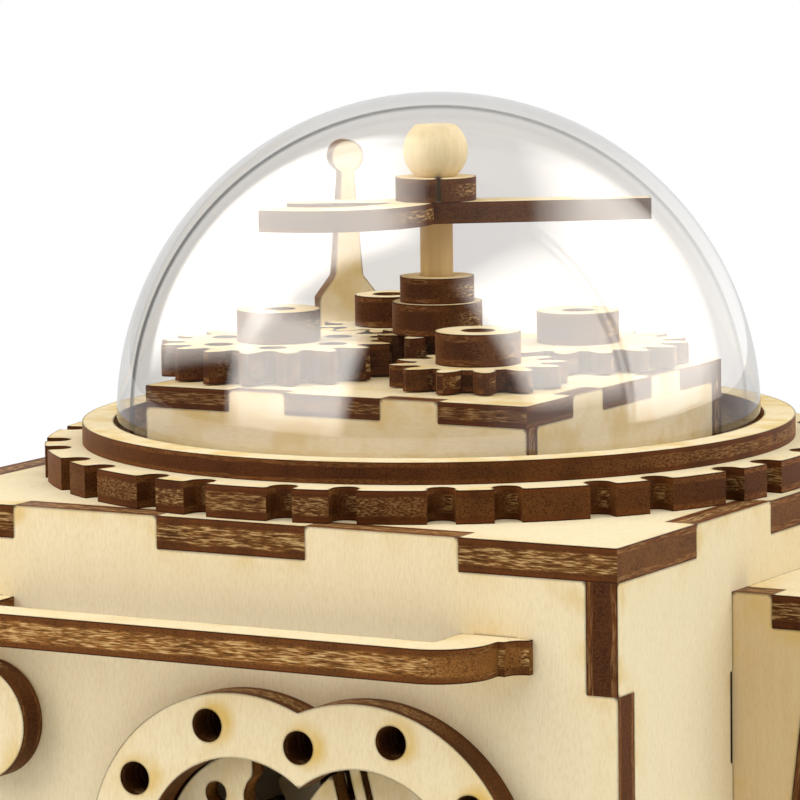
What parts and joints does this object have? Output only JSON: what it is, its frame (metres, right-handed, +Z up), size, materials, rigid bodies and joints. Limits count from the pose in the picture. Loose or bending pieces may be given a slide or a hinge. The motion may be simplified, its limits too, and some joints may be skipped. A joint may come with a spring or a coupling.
{
  "type": "music box",
  "caption": "Hand-cranked plywood music box: finger-jointed case with a goggle-shaped window, side boxes, and a clear dome on a cog ring over a small gear train and turning fan.",
  "frame": {"origin": "middle of the case's underside, on the table", "axes": "+Z up, -Y out of the front with the goggles, +Y out of the rear with the crank, +X to the right as seen from the front"},
  "size_m": [0.0982, 0.1041, 0.0974],
  "materials": {
    "plywood": "raw cream basswood faces, laser-burnt brown cut edges",
    "burnt_ply": "raw plywood, cut edges burnt brown by the laser",
    "hardwood": "turned pale hardwood, unpainted",
    "clear_dome": "clear, polished, thin moulded plastic",
    "steel": "plain ground steel",
    "brass": "turned brass, slightly dull"
  },
  "bodies": {
    "case": {"front_panel": "plywood", "rear_panel": "plywood", "left_panel": "plywood", "right_panel": "plywood", "roof_plate": "plywood", "floor_plate": "plywood", "inner_frame": "plywood", "brow_bar": "plywood", "goggle_frame": "plywood", "ear_right_top": "plywood", "ear_right_sides": "plywood", "ear_right_outer": "plywood", "ear_right_bottom": "plywood", "ear_left_top": "plywood", "ear_left_sides": "plywood", "ear_left_outer": "plywood", "ear_left_bottom": "plywood", "ring_gear": "plywood", "flange_ring": "plywood", "dome": "clear_dome", "platform_top": "plywood", "platform_long_walls": "plywood", "platform_short_walls": "plywood", "gear_pins": "hardwood", "finial": "plywood", "movement_bed": "steel", "comb": "steel", "movement_screws": "brass"},
    "crank": {"crank_shaft": "steel", "crank_arm": "plywood", "crank_pin": "steel", "crank_gear": "plywood", "eye_drive_gear": "plywood", "drive_wheel": "plywood"},
    "handle": {"crank_handle": "hardwood"},
    "cylinder": {"cylinder_drum": "brass", "cylinder_axle": "steel", "cylinder_wheel": "brass"},
    "rotor": {"rotor_shaft": "hardwood", "friction_disc": "plywood", "centre_pinion": "burnt_ply", "lower_collar": "burnt_ply", "upper_collar": "burnt_ply", "fan": "burnt_ply", "split_clip": "burnt_ply", "bead": "hardwood"},
    "left_train": {"left_gear": "burnt_ply", "left_collar": "burnt_ply"},
    "front_train": {"front_gear": "burnt_ply", "front_collar": "burnt_ply"},
    "right_train": {"right_gear": "burnt_ply", "right_collar": "burnt_ply"},
    "rear_train": {"rear_gear": "burnt_ply", "rear_collar": "burnt_ply"},
    "left_eye_turner": {"left_eye": "plywood", "left_eye_spindle": "plywood"},
    "right_eye_turner": {"right_eye": "plywood", "right_eye_spindle": "plywood"},
    "selector": {"selector_knob": "plywood", "brake_arm": "plywood"}
  },
  "joints": [
    {"name": "crank_turn", "type": "hinge", "parent": "case", "child": "crank", "pos_m": [0, 0, 0.04141], "axis": [0, 1, 0], "continuous": true},
    {"name": "handle_spin", "type": "hinge", "parent": "crank", "child": "handle", "pos_m": [0, 0.0381, 0.02141], "axis": [0, 1, 0], "continuous": true},
    {"name": "cylinder_turn", "type": "hinge", "parent": "case", "child": "cylinder", "pos_m": [-0.01709, 0, 0.02602], "axis": [0, 1, 0], "continuous": true},
    {"name": "left_eye_turn", "type": "hinge", "parent": "case", "child": "left_eye_turner", "pos_m": [0.0024, 0, 0.0317], "axis": [0, 1, 0], "continuous": true},
    {"name": "right_eye_turn", "type": "hinge", "parent": "case", "child": "right_eye_turner", "pos_m": [0.0144, 0, 0.0317], "axis": [0, 1, 0], "continuous": true},
    {"name": "rotor_turn", "type": "hinge", "parent": "case", "child": "rotor", "pos_m": [0, 0, 0.062], "axis": [0, 0, 1], "continuous": true},
    {"name": "left_gear_turn", "type": "hinge", "parent": "case", "child": "left_train", "pos_m": [-0.01324, -0.00704, 0.062], "axis": [0, 0, 1], "continuous": true},
    {"name": "front_gear_turn", "type": "hinge", "parent": "case", "child": "front_train", "pos_m": [0.00878, -0.00818, 0.062], "axis": [0, 0, 1], "continuous": true},
    {"name": "right_gear_turn", "type": "hinge", "parent": "case", "child": "right_train", "pos_m": [0.00916, 0.01111, 0.062], "axis": [0, 0, 1], "continuous": true},
    {"name": "rear_gear_turn", "type": "hinge", "parent": "case", "child": "rear_train", "pos_m": [-0.01029, 0.00889, 0.062], "axis": [0, 0, 1], "continuous": true},
    {"name": "selector_turn", "type": "hinge", "parent": "case", "child": "selector", "pos_m": [-0.0255, 0, 0.0425], "axis": [0, -1, 0], "range_deg": [0, 85]}
  ],
  "couplings": [
    {"joint": "cylinder_turn", "follows": "crank_turn", "ratio": -0.53333},
    {"joint": "left_eye_turn", "follows": "crank_turn", "ratio": -0.66667},
    {"joint": "right_eye_turn", "follows": "crank_turn", "ratio": 0.66667},
    {"joint": "rotor_turn", "follows": "crank_turn", "ratio": -0.8},
    {"joint": "left_gear_turn", "follows": "crank_turn", "ratio": 0.37647},
    {"joint": "front_gear_turn", "follows": "crank_turn", "ratio": 0.53333},
    {"joint": "right_gear_turn", "follows": "crank_turn", "ratio": 0.4},
    {"joint": "rear_gear_turn", "follows": "crank_turn", "ratio": -0.64}
  ]
}
